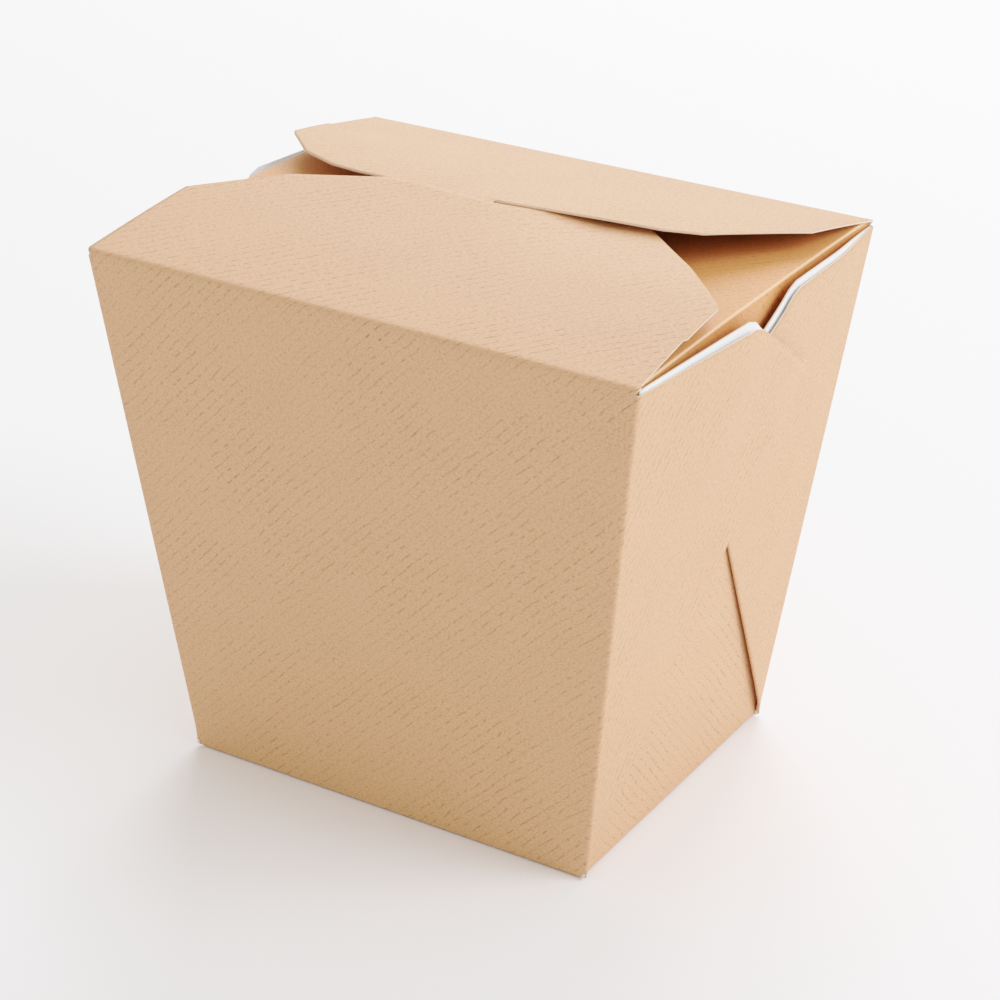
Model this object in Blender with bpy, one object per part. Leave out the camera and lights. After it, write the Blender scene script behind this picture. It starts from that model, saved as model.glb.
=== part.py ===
"""Noodle takeaway box: a shut carton folded from one blank of kraft board.

Four walls lean outward from a small base to a wider top. At both ends the web
corners between the walls are folded flat onto the end wall. The end flaps fold
in first, and the two main flaps meet over them like a low roof. Each main flap
passes over the other on one half of the box, which locks them. The box is shut,
so its inside is solid. X runs along the front wall, Y to the back, Z up.
"""

import math

import bmesh
import bpy
from mathutils import Vector
from mathutils.geometry import delaunay_2d_cdt

MM = 0.001

# The box, in millimetres: outer sizes of the base and of the top creases
TOP_LENGTH = 107.0
TOP_DEPTH = 89.0
BASE_LENGTH = 84.0
BASE_DEPTH = 67.0
HEIGHT = 100.0
BOARD = 0.45

# Core: the walls, the base and the end flaps
BASE_ROUND = 0.5
CORNER_ROUND = 0.8
CORNER_RIB = 2.5
END_RECESS = 0.6
END_ROLL = 1.8
END_FLAP_DIP = 1.5
END_FLAP_REACH = 32.0
ARC_STEPS = 3

# Main flaps: the rise to the ridge, and how far the lower half stays under
RIDGE_RISE = 6.0
TUCK_LEVEL = 4.65
TUCK_SHARPNESS = 6
CROSSING_X = 1.4
CROSSING_HALF_WIDTH = 3.0
SLIT_HALF_WIDTH = 1.2
CREASE_REACH = 0.7
LIP = 2.5
LIP_PROUD = 0.03
FLAP_GRID = 4.0
EDGE_STEP = 3.0

# Web corners: the angle at the bottom corner, and the cut across the top
WEB_ANGLE = math.radians(38.55)
WEB_FOLD_RADIUS = 99.2
WEB_TIP_RADIUS = 102.1
WEB_TIP_SHARE = 0.53
WEB_GRID = 7.0
WEB_ROOT = -1.5
WEB_NEAR_LIFT = 0.7
WEB_FAR_LIFT = 2.9
UNDER_WEB_LIFT = 0.8
UNDER_WEB_SPRING = 2.2
WEDGE_DEPTH = 14.0
WEDGE_WIDTH = 1.9
WEDGE_START = 0.06
WEDGE_END = 0.93

KRAFT = (0.70, 0.48, 0.31)
KRAFT_ROUGHNESS = 0.75

END_SLOPE = (TOP_LENGTH - BASE_LENGTH) / 2 / HEIGHT
FRONT_SLOPE = (TOP_DEPTH - BASE_DEPTH) / 2 / HEIGHT
END_SLANT = math.hypot(1.0, END_SLOPE)
SIDE_LEAN = math.atan(FRONT_SLOPE / END_SLANT)


def clear_scene():
    """Start from an empty scene."""
    for item in list(bpy.data.objects):
        bpy.data.objects.remove(item, do_unlink=True)


def kraft_material():
    """Plain brown board, matt."""
    material = bpy.data.materials.new("kraft_board")
    material.use_nodes = True
    shader = material.node_tree.nodes["Principled BSDF"]
    shader.inputs["Base Color"].default_value = (*KRAFT, 1.0)
    shader.inputs["Roughness"].default_value = KRAFT_ROUGHNESS
    shader.inputs["Metallic"].default_value = 0.0
    return material


def smooth(value):
    """Ease from 0 to 1, flat at both ends."""
    value = min(max(value, 0.0), 1.0)
    return value * value * (3.0 - 2.0 * value)


def add_object(name, mesh_data):
    """Turn a bmesh, in millimetres, into an object in metres."""
    bmesh.ops.scale(mesh_data, vec=(MM, MM, MM), verts=mesh_data.verts)
    bmesh.ops.recalc_face_normals(mesh_data, faces=mesh_data.faces)
    mesh = bpy.data.meshes.new(name)
    mesh_data.to_mesh(mesh)
    mesh_data.free()
    item = bpy.data.objects.new(name, mesh)
    bpy.context.scene.collection.objects.link(item)
    return item


def core_ring(half_length, half_depth, recess):
    """Outline of the core at one level, with rounded corners and sunk end walls."""
    quarter = [(half_length - recess, half_depth - CORNER_RIB)]
    for step in range(ARC_STEPS):
        turn = math.radians(90.0) * step / (ARC_STEPS - 1)
        quarter.append((half_length - CORNER_ROUND * (1.0 - math.cos(turn)),
                        half_depth - CORNER_ROUND * (1.0 - math.sin(turn))))
    ring = []
    for sign_x, sign_y in ((1, 1), (-1, 1), (-1, -1), (1, -1)):
        points = [(x * sign_x, y * sign_y) for x, y in quarter]
        ring += points if sign_x == sign_y else points[::-1]
    return ring


def core():
    """Base, walls and end flaps as one closed block, rolled over at both ends."""
    def half_sizes(z):
        return BASE_LENGTH / 2 + END_SLOPE * z, BASE_DEPTH / 2 + FRONT_SLOPE * z

    levels = []
    for step in range(ARC_STEPS):
        turn = math.radians(90.0) * step / (ARC_STEPS - 1)
        inset = BASE_ROUND * (1.0 - math.sin(turn))
        z = BASE_ROUND * (1.0 - math.cos(turn))
        length, depth = half_sizes(z)
        levels.append((z, length - inset, depth - inset, 0.0))
    roll_steps = 2 * ARC_STEPS
    for step in range(roll_steps + 1):
        turn = math.radians(90.0) * step / roll_steps
        z = HEIGHT - END_ROLL * (1.0 - math.sin(turn))
        length, depth = half_sizes(z)
        pull = 1.0 - math.cos(turn)
        levels.append((z, length - END_ROLL * pull, depth - BOARD * pull, END_RECESS))
    depth = levels[-1][2]
    levels.append((HEIGHT - END_FLAP_DIP, TOP_LENGTH / 2 - END_FLAP_REACH, depth, 0.0))

    mesh_data = bmesh.new()
    rings = []
    for z, length, depth, recess in levels:
        rings.append([mesh_data.verts.new((x, y, z)) for x, y in core_ring(length, depth, recess)])
    for lower, upper in zip(rings, rings[1:]):
        for index in range(len(lower)):
            after = (index + 1) % len(lower)
            mesh_data.faces.new((lower[index], lower[after], upper[after], upper[index]))
    mesh_data.faces.new(rings[0][::-1])
    mesh_data.faces.new(rings[-1])
    bmesh.ops.triangulate(mesh_data, faces=mesh_data.faces)
    return add_object("core", mesh_data)


def split_edges(outline, step, lines=()):
    """Add points along a closed outline, at most a step apart and on the given lines."""
    points = []
    for start, end in zip(outline, outline[1:] + outline[:1]):
        start, end = Vector(start), Vector(end)
        count = max(1, math.ceil((end - start).length / step))
        shares = [index / count for index in range(count)]
        for line in lines:
            if abs(end.y - start.y) > 1e-6:
                share = (line - start.y) / (end.y - start.y)
                if 1e-4 < share < 1.0 - 1e-4:
                    shares.append(share)
        shares = sorted(set(round(share, 6) for share in shares))
        points += [start.lerp(end, share) for share in shares]
    return points


def is_inside(point, outline, clearance):
    """True for a point inside the outline and at least the clearance from its edges."""
    inside = False
    for start, end in zip(outline, outline[1:] + outline[:1]):
        if (start.y > point.y) != (end.y > point.y):
            share = (point.y - start.y) / (end.y - start.y)
            if point.x < start.x + share * (end.x - start.x):
                inside = not inside
        along = end - start
        share = min(max((point - start).dot(along) / along.length_squared, 0.0), 1.0)
        if (point - start - along * share).length < clearance:
            return False
    return inside


def steps_between(low, high, spacing):
    """Evenly spaced values from low to high, both included."""
    count = max(1, round((high - low) / spacing))
    return [low + (high - low) * index / count for index in range(count + 1)]


def sheet(name, outline, spacing, outer, inner, lines=()):
    """Closed thin body between two surfaces over a flat outline.

    outer and inner turn a point of the outline's plane into a point in space.
    lines are values of the second coordinate that get a row of points.
    """
    border = split_edges(outline, min(spacing, EDGE_STEP), lines)
    low = Vector((min(point.x for point in border), min(point.y for point in border)))
    high = Vector((max(point.x for point in border), max(point.y for point in border)))
    rows = [value for value in steps_between(low.y, high.y, spacing)
            if all(abs(value - line) > 0.4 * spacing for line in lines)]
    points = list(border)
    for v in sorted(rows + list(lines)):
        clearance = 0.1 if v in lines else 0.4 * spacing
        for u in steps_between(low.x, high.x, spacing):
            point = Vector((u, v))
            if is_inside(point, border, clearance):
                points.append(point)
    edges = [(index, (index + 1) % len(border)) for index in range(len(border))]
    flat, _, triangles, *_ = delaunay_2d_cdt(points, edges, [], 1, 1e-5)

    mesh_data = bmesh.new()
    upper = [mesh_data.verts.new(outer(point.x, point.y)) for point in flat]
    lower = [mesh_data.verts.new(inner(point.x, point.y)) for point in flat]
    for triangle in triangles:
        mesh_data.faces.new([upper[index] for index in triangle])
        mesh_data.faces.new([lower[index] for index in reversed(triangle)])
    used = [tuple(sorted(pair)) for triangle in triangles
            for pair in zip(triangle, triangle[1:] + triangle[:1])]
    for pair in sorted(set(used)):
        if used.count(pair) == 1:
            first, second = pair
            mesh_data.faces.new((upper[first], upper[second], lower[second], lower[first]))
    loose = [vert for vert in mesh_data.verts if not vert.link_faces]
    bmesh.ops.delete(mesh_data, geom=loose, context="VERTS")
    bmesh.ops.triangulate(mesh_data, faces=mesh_data.faces)
    return add_object(name, mesh_data)


def flap_height(reach, share_over):
    """Height of a main flap above the creases, at a distance from its own crease."""
    over = RIDGE_RISE * reach / (TOP_DEPTH / 2)
    power = TUCK_SHARPNESS
    under = over / (1.0 + (over / TUCK_LEVEL) ** power) ** (1.0 / power)
    return under + (over - under) * share_over


def flap_middle(x, reach):
    """Middle of the front flap's board: up the wall, round the crease, then the roof."""
    wall = -TOP_DEPTH / 2 + BOARD / 2 - LIP_PROUD

    def on_wall(v):
        return Vector((x, wall - FRONT_SLOPE * v, HEIGHT + v))

    def on_roof(v):
        start = CROSSING_X - CROSSING_HALF_WIDTH
        share_over = 1.0 - smooth((x - start) / (2 * CROSSING_HALF_WIDTH))
        return Vector((x, wall + v, HEIGHT + flap_height(v, share_over)))

    if reach <= -CREASE_REACH:
        return on_wall(reach)
    if reach >= CREASE_REACH:
        return on_roof(reach)
    share = (reach + CREASE_REACH) / (2 * CREASE_REACH)
    start, corner, end = on_wall(-CREASE_REACH), on_wall(0.0), on_roof(CREASE_REACH)
    return start.lerp(corner, share).lerp(corner.lerp(end, share), share)


def flap_face(side):
    """Surface of the board half a thickness to one side of its middle."""
    probe = 0.05

    def surface(x, reach):
        middle = flap_middle(x, reach)
        across = flap_middle(x + probe, reach) - flap_middle(x - probe, reach)
        along = flap_middle(x, reach + probe) - flap_middle(x, reach - probe)
        return middle + across.cross(along).normalized() * side * BOARD / 2

    return surface


def flap(name, outline):
    """A main flap, modelled at the front, with its lip set into the front wall."""
    lines = (-CREASE_REACH, -CREASE_REACH / 2, 0.0, CREASE_REACH / 2, CREASE_REACH)
    return sheet(name, outline, FLAP_GRID, flap_face(1), flap_face(-1), lines)


def front_flap_outline():
    """Right half tucks under the other flap, left half lies over it."""
    left = CROSSING_X - SLIT_HALF_WIDTH
    right = CROSSING_X + SLIT_HALF_WIDTH
    return [(-53.3, -LIP), (53.3, -LIP), (53.3, 0.0), (54.0, 2.0),
            (54.0, 24.5), (53.4, 26.6), (42.2, 38.8), (28.0, 51.5), (24.0, 52.0),
            (right, 50.0), (right, 44.3), (left, 44.3),
            (-14.1, 44.8), (-21.5, 42.6), (-37.6, 37.6), (-51.2, 24.5),
            (-53.3, 2.0), (-53.3, 0.0)]


def back_flap_outline():
    """The same lock turned half round: its own right half is the tuck at the left."""
    left = -CROSSING_X - SLIT_HALF_WIDTH
    right = -CROSSING_X + SLIT_HALF_WIDTH
    return [(-53.3, -LIP), (53.3, -LIP), (53.3, 0.0), (54.0, 2.0),
            (54.0, 25.0), (53.2, 27.4), (44.5, 36.6), (36.0, 41.2), (29.0, 43.2),
            (22.0, 45.5), (14.0, 48.5), (right, 50.0), (right, 44.3),
            (left, 44.3), (-23.0, 41.2), (-31.6, 40.2), (-37.8, 37.4),
            (-50.6, 22.0), (-53.3, 2.0), (-53.3, 0.0)]


def end_point(y, up, offset):
    """Point on the right end: along its slant, and out from the plane of its edges."""
    return Vector((BASE_LENGTH / 2 + (END_SLOPE * up + offset) / END_SLANT,
                   y, (up - END_SLOPE * offset) / END_SLANT))


def web_point(radius, share):
    """Point of the front web, by its distance and turn from the bottom corner."""
    turn = -SIDE_LEAN + WEB_ANGLE * share
    return (-BASE_DEPTH / 2 + radius * math.sin(turn), radius * math.cos(turn))


def web_polar(y, up):
    """Distance and share of the turn of a point, from the bottom corner."""
    turn = math.atan2(y + BASE_DEPTH / 2, up) + SIDE_LEAN
    return math.hypot(y + BASE_DEPTH / 2, up), min(max(turn / WEB_ANGLE, 0.0), 1.0)


def over_web_lift(y, up):
    """Outer face of the web that lies on top: it springs away from the wall."""
    radius, share = web_polar(y, up)
    far = (radius / WEB_FOLD_RADIUS) ** 2
    return (WEB_NEAR_LIFT + WEB_FAR_LIFT * far) * (1.0 - (1.0 - share) ** 3)


def under_web_lift(y, up):
    """Outer face of the web below: flat, and sprung only at its tip."""
    radius, share = web_polar(y, up)
    spring = UNDER_WEB_SPRING * (radius / WEB_TIP_RADIUS) ** 4 * math.sin(0.9 * math.pi * share)
    return UNDER_WEB_LIFT * smooth(4.0 * share) + spring


def web_outline():
    """Bottom corner, top corner, tip of the cut and end of the fold."""
    wall_top = HEIGHT * math.hypot(END_SLANT, FRONT_SLOPE) - END_ROLL
    return [web_point(2.0, 0.0), web_point(wall_top, 0.0),
            web_point(WEB_TIP_RADIUS, WEB_TIP_SHARE), web_point(WEB_FOLD_RADIUS, 1.0),
            web_point(2.0, 1.0)]


def wedge_outline():
    """The open mouth between the two layers of a web, along its top cut."""
    beyond = WEB_TIP_RADIUS + 4.0
    return [web_point(beyond, WEDGE_START), web_point(beyond, WEB_TIP_SHARE),
            web_point(beyond, WEDGE_END), web_point(WEB_FOLD_RADIUS - 4.0, WEDGE_END),
            web_point(WEB_TIP_RADIUS - WEDGE_DEPTH, WEB_TIP_SHARE),
            web_point(WEB_TIP_RADIUS - 4.0, WEDGE_START)]


def web(name, lift):
    """Both layers of one folded web, as a thin plate on the end wall, front right."""
    return sheet(name, web_outline(), WEB_GRID,
                 lambda y, up: end_point(y, up, lift(y, up)),
                 lambda y, up: end_point(y, up, WEB_ROOT))


def wedge(name, lift):
    """Cutter for the mouth between the layers, one board below the outer face."""
    def mouth(y, up):
        radius, share = web_polar(y, up)
        depth = 1.0 - (WEB_TIP_RADIUS - radius) / WEDGE_DEPTH
        spread = smooth(3.0 * share) * (1.0 - share ** 4)
        return 0.05 + WEDGE_WIDTH * min(max(depth, 0.0), 1.0) * spread

    return sheet(name, wedge_outline(), WEB_GRID,
                 lambda y, up: end_point(y, up, lift(y, up) - BOARD),
                 lambda y, up: end_point(y, up, lift(y, up) - BOARD - mouth(y, up)))


def turn_half_round(item):
    """Turn an object half round the upright axis through the middle."""
    for vert in item.data.vertices:
        vert.co.x = -vert.co.x
        vert.co.y = -vert.co.y
    return item


def mirror_to_back(item):
    """Mirror an object from the front of the right end to its back."""
    for vert in item.data.vertices:
        vert.co.y = -vert.co.y
    item.data.flip_normals()
    return item


def combine(target, pieces, operation):
    """Apply one Boolean with a collection of pieces, then remove the pieces."""
    collection = bpy.data.collections.new(operation.lower())
    bpy.context.scene.collection.children.link(collection)
    for piece in pieces:
        bpy.context.scene.collection.objects.unlink(piece)
        collection.objects.link(piece)
        piece.hide_render = True
        piece.display_type = "WIRE"
    boolean = target.modifiers.new(operation.lower(), "BOOLEAN")
    boolean.operand_type = "COLLECTION"
    boolean.collection = collection
    boolean.operation = operation
    boolean.solver = "MANIFOLD"
    graph = bpy.context.evaluated_depsgraph_get()
    result = bpy.data.meshes.new_from_object(target.evaluated_get(graph))
    target.modifiers.clear()
    target.data = result
    for piece in pieces:
        bpy.data.objects.remove(piece, do_unlink=True)
    bpy.data.collections.remove(collection)


def main():
    clear_scene()
    carton = core()
    carton.name = "carton"

    pieces = [flap("front_flap", front_flap_outline()),
              turn_half_round(flap("back_flap", back_flap_outline()))]
    cutters = []
    for place in (lambda item: item, turn_half_round):
        pieces.append(place(web("over_web", over_web_lift)))
        pieces.append(place(mirror_to_back(web("under_web", under_web_lift))))
        cutters.append(place(wedge("over_wedge", over_web_lift)))
        cutters.append(place(mirror_to_back(wedge("under_wedge", under_web_lift))))
    combine(carton, pieces, "UNION")
    combine(carton, cutters, "DIFFERENCE")

    carton.data.name = "carton"
    carton.data.materials.clear()
    carton.data.materials.append(kraft_material())
    print("carton:", len(carton.data.vertices), "points,", len(carton.data.polygons), "faces")


main()
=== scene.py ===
# %% [markdown]
# # A folded noodle box
#
# The real box is one sheet of brown board, white on its inner side, cut and creased flat and then
# folded. It could be modelled as a block with lines drawn on it, but then no edge would show the
# thickness of the board. So every panel here is a curved grid of points, laid where the folded
# board lies, and a Solidify modifier gives the grid its thickness. Each point also remembers where
# it was on the flat sheet, and the pattern of the board is drawn from that place, so that its
# lines run on over each fold as they do on the real one.
#
# The solid part is loaded first. It is the fixed frame that the panels are fitted to, and its size
# is kept and printed.

# %% Load the solid part as the fixed frame
import math

import bmesh
import bpy
from mathutils import Matrix, Vector


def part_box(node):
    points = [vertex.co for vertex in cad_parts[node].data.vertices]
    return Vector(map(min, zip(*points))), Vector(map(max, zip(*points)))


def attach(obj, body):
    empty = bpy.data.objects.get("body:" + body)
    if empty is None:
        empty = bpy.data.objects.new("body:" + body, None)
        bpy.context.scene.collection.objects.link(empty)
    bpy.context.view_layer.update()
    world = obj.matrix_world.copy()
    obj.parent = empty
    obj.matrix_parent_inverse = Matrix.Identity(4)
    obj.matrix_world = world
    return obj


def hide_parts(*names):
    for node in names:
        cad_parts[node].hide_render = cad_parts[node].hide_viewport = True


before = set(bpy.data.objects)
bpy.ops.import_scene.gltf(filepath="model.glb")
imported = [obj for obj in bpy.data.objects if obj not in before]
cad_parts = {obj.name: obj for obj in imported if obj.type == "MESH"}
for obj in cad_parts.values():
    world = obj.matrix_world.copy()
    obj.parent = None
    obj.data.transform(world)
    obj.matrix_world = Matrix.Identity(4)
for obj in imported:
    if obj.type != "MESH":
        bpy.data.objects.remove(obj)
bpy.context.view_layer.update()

MM = 0.001
cad_low, cad_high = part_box("carton")
print("solid box, mm:", [round((high - low) / MM, 1) for low, high in zip(cad_low, cad_high)])

# %% [markdown]
# ## The sizes of the box
#
# Everything follows from the base, the rectangle of the top creases and the height. Lengths are in
# millimetres until a mesh is made, because board is easier to think of in millimetres. Each wall
# is a flat trapezium, so its slope, its slanted height and the lean of its edges come from those
# sizes. On the flat sheet the walls leave an open angle at each bottom corner. The web fills that
# angle, and once it is folded in two, each of its layers turns through half of it.

# %% Sizes of the folded box
TOP_LENGTH = 107.0
TOP_DEPTH = 89.0
BASE_LENGTH = 84.0
BASE_DEPTH = 67.0
HEIGHT = 100.0

end_slope = (TOP_LENGTH - BASE_LENGTH) / 2 / HEIGHT
side_slope = (TOP_DEPTH - BASE_DEPTH) / 2 / HEIGHT
end_slant = HEIGHT * math.hypot(1.0, end_slope)
side_slant = HEIGHT * math.hypot(1.0, side_slope)
side_lean = math.atan(end_slope * HEIGHT / side_slant)
end_lean = math.atan(side_slope * HEIGHT / end_slant)
web_turn = (math.pi / 2 - side_lean - end_lean) / 2
print("slanted heights:", round(side_slant, 1), "and", round(end_slant, 1),
      "mm, half web", round(math.degrees(web_turn), 1), "degrees")

# %% [markdown]
# ## Small helpers for curved grids
#
# A panel is a grid: a list of rows, each a list of points, and each point is a pair of its place
# in space and its place on the flat sheet. Real board never bends at a sharp line, so a fold is
# rounded off with a Bezier curve between the two panels, its middle handle on the sharp corner. An
# arc would do too, but the curve needs only three points, and meets both panels smoothly.

# %% Easing, mixing and rounding
def smooth(value):
    """Ease from 0 to 1, flat at both ends."""
    value = min(max(value, 0.0), 1.0)
    return value * value * (3.0 - 2.0 * value)


def mix(first, second, share):
    """The value or point that lies a share of the way from the first to the second."""
    return first + (second - first) * share


def rounded(start, corner, end, share):
    """A point of the round between two panels that would meet at a sharp corner."""
    return mix(mix(start, corner, share), mix(corner, end, share), share)


print("middle of a round from 0 over 0 to 1:", rounded(0.0, 0.0, 1.0, 0.5))


# %% Mirroring a grid
def mirrored(grid):
    """A grid mirrored from the right half to the left half. Its columns change order too, which
    keeps its face outward."""
    swap = Vector((-1.0, 1.0, 1.0))
    return [[(point * swap, Vector((-flat.x, flat.y))) for point, flat in row[::-1]]
            for row in grid]


# %% [markdown]
# ## How the box has settled
#
# A box folded by hand is never quite square. In the photo the front right corner of the top stands
# about a millimetre further out, and a little lower, than the other three would put it. A lattice
# could bend the whole box, but one small shift that fades out towards the other corners is enough,
# and each point gets it just before it goes into a mesh.

# %% Shift of the front right top corner
SETTLED_CORNER = Vector((1.0, 0.0, -0.7))


def settle(point):
    """Shift a point with the front right top corner."""
    right = min(max(point.x / TOP_LENGTH + 0.5, 0.0), 1.0)
    front = min(max(0.5 - point.y / TOP_DEPTH, 0.0), 1.0)
    up = min(max(point.z / HEIGHT, 0.0), 1.0)
    return point + SETTLED_CORNER * (right * front) ** 2 * up


top_middle = Vector((0.0, 0.0, HEIGHT))
print("shift in the middle of the top:", round((settle(top_middle) - top_middle).length, 2), "mm")

# %% [markdown]
# ## From grids to a piece of board
#
# A piece is one or more grids, welded where they touch, so that the shading runs on without a
# seam. Two UV layers travel with it. The first holds the place on the flat sheet. The second holds
# two amounts that the material needs: a painted highlight along the roll, partly rubbed board, and
# a painted shade, a darker and warmer brown where the end flaps and the top of the end walls lie in
# shade. The thickness could be modelled too, but a Solidify modifier adds it evenly on the inner
# side, gives that side the white material, and gives the cut edge a material of its own.

# %% Points and faces of one grid
def add_grid(mesh_data, grid, half_turn):
    """Add one grid to a mesh, with its place on the sheet and its painted light and wear at every
    corner.
    """
    sheet_place = mesh_data.loops.layers.uv["sheet"]
    light_and_wear_place = mesh_data.loops.layers.uv["wear"]
    rows = []
    for row in grid:
        verts = []
        for point, flat in row:
            place = Vector((-point.x, -point.y, point.z)) if half_turn else point
            verts.append((mesh_data.verts.new(settle(place) * MM), flat))
        rows.append(verts)
    for lower, upper in zip(rows, rows[1:]):
        for index in range(len(lower) - 1):
            corners = (lower[index], lower[index + 1], upper[index + 1], upper[index])
            face = mesh_data.faces.new([vert for vert, flat in corners])
            face.smooth = True
            for loop, (vert, flat) in zip(face.loops, corners):
                loop[sheet_place].uv = flat[:2]
                # The second UV layer holds the painted highlight of the roll and the painted shade
                # of the ends.
                loop[light_and_wear_place].uv = flat[2:] if len(flat) > 2 else (0.0, 0.0)


# %% A piece of board
BOARD = 0.3
WELD = 0.02


def build(name, grids, half_turn=False):
    """Weld grids into one surface, and give it the thickness of the board on its inner side."""
    mesh_data = bmesh.new()
    mesh_data.loops.layers.uv.new("sheet")
    mesh_data.loops.layers.uv.new("wear")
    for grid in grids:
        add_grid(mesh_data, grid, half_turn)
    bmesh.ops.remove_doubles(mesh_data, verts=mesh_data.verts, dist=WELD * MM)
    mesh = bpy.data.meshes.new(name)
    mesh_data.to_mesh(mesh)
    mesh_data.free()
    piece = bpy.data.objects.new(name, mesh)
    bpy.context.scene.collection.objects.link(piece)
    thickness = piece.modifiers.new("board", "SOLIDIFY")
    thickness.thickness = BOARD * MM
    thickness.offset = -1.0
    thickness.material_offset = 1
    thickness.material_offset_rim = 2
    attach(piece, "root")
    print(name, "has", len(mesh.polygons), "faces")
    return piece


# %% [markdown]
# ## Places on an end
#
# At each end the web corners are folded flat onto the end wall. All those layers are parallel, so
# a place there is given by three numbers: across the box, up the slant, and out from the plane
# through the two corner edges. Stacking the layers is then a matter of the third number alone.
# The end wall lies a little behind that plane. Near its top it bows, so that its crease isn't
# quite straight: it has one depth at the front, one in the middle and one at the back.

# %% A place on the right end
def end_place(y, up, out):
    """A place on the right end: along its slant, and out from the plane of its edges."""
    unit = end_slant / HEIGHT
    x = BASE_LENGTH / 2 + (end_slope * up + out) / unit
    return Vector((x, y, (up - end_slope * out) / unit))


print("top of the right end, mm:", [round(part, 1) for part in end_place(0.0, end_slant, 0.0)])

# %% Depth of the end wall
END_SUNK = -0.8
RIGHT_CREASE = (-0.75, -0.95, -1.0)
LEFT_CREASE = (-0.8, -1.3, -0.8)
BOW_START = 86.0


def end_sunk(y, up, crease):
    """How far out the end wall itself stands: below 0, behind the web layers."""
    front, middle, back = crease
    bow = mix(middle, front if y < 0 else back, (y / TOP_DEPTH * 2) ** 2)
    return mix(END_SUNK, bow, smooth((up - BOW_START) / (end_slant - BOW_START)))


print("end wall at its crease:", round(end_sunk(0.0, end_slant, RIGHT_CREASE), 2), "mm")

# %% [markdown]
# ## The outline of a web
#
# A web is a kite on the flat sheet, folded along its middle. Folded, its outline is the corner
# edge, a nearly level cut up to a tip, a slanted cut, and the fold. Seen from the bottom corner it
# is a fan, so its points are given by their distance from that corner and by their share of the
# turn, 0 at the corner edge and 1 at the fold. The cut edge is then one distance for every share,
# which a plain grid can follow, and no mesh has to be cut.

# %% Distance and turn about the bottom corner
def web_place(radius, share):
    """Width and height on the end, from the distance and turn about the bottom corner."""
    turn = web_turn * share - end_lean
    return -BASE_DEPTH / 2 + radius * math.sin(turn), radius * math.cos(turn)


def web_polar(y, up):
    """Distance and share of the turn about the bottom front corner of a place on the end."""
    across = y + BASE_DEPTH / 2
    return math.hypot(across, up), (math.atan2(across, up) + end_lean) / web_turn


print("a fold ends at, mm:", [round(part, 1) for part in web_place(end_slant, 1.0)])

# %% The cut edge of a web
TOP_CORNER_RADIUS = 100.1
TIP_RADIUS = 102.6
FOLD_RADIUS = 97.7
TIP_SHARE = 0.52


def cut_radius(share):
    """Distance from the bottom corner to the cut edge, straight on each side of the tip."""
    ends = ((0.0, TOP_CORNER_RADIUS), (TIP_SHARE, TIP_RADIUS), (1.0, FOLD_RADIUS))
    first, second = (ends[0], ends[1]) if share < TIP_SHARE else (ends[1], ends[2])
    start = Vector(web_place(first[1], first[0]))
    along = Vector(web_place(second[1], second[0])) - start
    corner = Vector((-BASE_DEPTH / 2, 0.0))
    ray = Vector(web_place(1.0, share)) - corner
    offset = start - corner
    return (offset.x * along.y - offset.y * along.x) / (ray.x * along.y - ray.y * along.x)


print("cut edge, mm from the corner:", [round(cut_radius(part / 4), 1) for part in range(5)])

# %% [markdown]
# ## How the layers spring up
#
# Folded board springs back. Low down, the layers lie flat on the end wall. Towards the cut edge
# they lift away from it and from each other, most of all at the tip, and the white inner side
# shows in the opening. A cloth simulation could find that shape, but it would be hard to steer
# towards the photo. Here each lift is a product of a few eased values, which can be set one by
# one. The folds also lie a little beside the middle of their webs, so the last helper shifts them.

# %% Eased values over a web
LIFT_START = 50.0
SHIFT_START = 0.6


def from_tip(share):
    """Eases from 1 at the tip of a web to 0 at its fold, and is 1 before the tip."""
    beyond = min(max(share - TIP_SHARE, 0.0) / (1.0 - TIP_SHARE), 1.0)
    return math.cos(math.pi / 2 * beyond)


def to_tip(share):
    """Rises evenly from 0 at the corner edge to 1 at the tip of a web."""
    return min(share / TIP_SHARE, 1.0)


def raised(radius):
    """From 0 low on a web to 1 at its cut edge: how far it has sprung away from the end wall."""
    return smooth((radius - LIFT_START) / (TOP_CORNER_RADIUS - LIFT_START))


def shifted(share, fold_shift):
    """Share of the turn once the fold has been creased a little beside the middle of the web."""
    return share + fold_shift * smooth((share - SHIFT_START) / (1.0 - SHIFT_START))


print("raised at 75 mm:", round(raised(75.0), 2))

# %% [markdown]
# ## The two webs of an end
#
# One web lies on the end wall, and the other lies over it. The functions below give how far out
# the two brown faces of a web stand. The upper web is pushed out wherever the lower one lies
# beneath it, and comes down beside it over a short bridge, so that no layer cuts through another.
# At its foot the lower web stands off the wall, which opens the dark slit that the photo shows
# beside its fold.

# %% Gap between the two layers of a web
LAYER_GAP = 0.06
MOUTH_DEPTH = 24.0


def gap(radius, share, mouth):
    """The gap between the two layers of a web, widest at the tip."""
    open_share = smooth(1.0 - (TIP_RADIUS - radius) / MOUTH_DEPTH)
    return LAYER_GAP + mouth * open_share * to_tip(share) * from_tip(share)


print("gap at the tip with a 1 mm mouth:", round(gap(TIP_RADIUS, TIP_SHARE, 1.0), 2), "mm")

# %% Faces of the lower web
CLEAR = 0.05
LOWER_MOUTH = 0.5
LOWER_LIFT = 1.4
LIFT_EASE = 0.28
LIFT_FALL = 1.5
FOOT_LIFT = 0.75
FOOT_START = 5.0
FOOT_LENGTH = 80.0


def lower_web(radius, share):
    """Inner and outer brown faces of the web that lies on the end wall."""
    low = smooth(radius / FOOT_START) * (1.0 - smooth(radius / FOOT_LENGTH))
    lift = LOWER_LIFT * raised(radius) * smooth(share / LIFT_EASE) * from_tip(share) ** LIFT_FALL
    inner = END_SUNK + CLEAR + FOOT_LIFT * low * smooth(share) + lift
    return inner, inner + 2 * BOARD + gap(radius, share, LOWER_MOUTH)


print("lower web at its tip, mm:", [round(out, 2) for out in lower_web(TIP_RADIUS, TIP_SHARE)])

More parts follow.
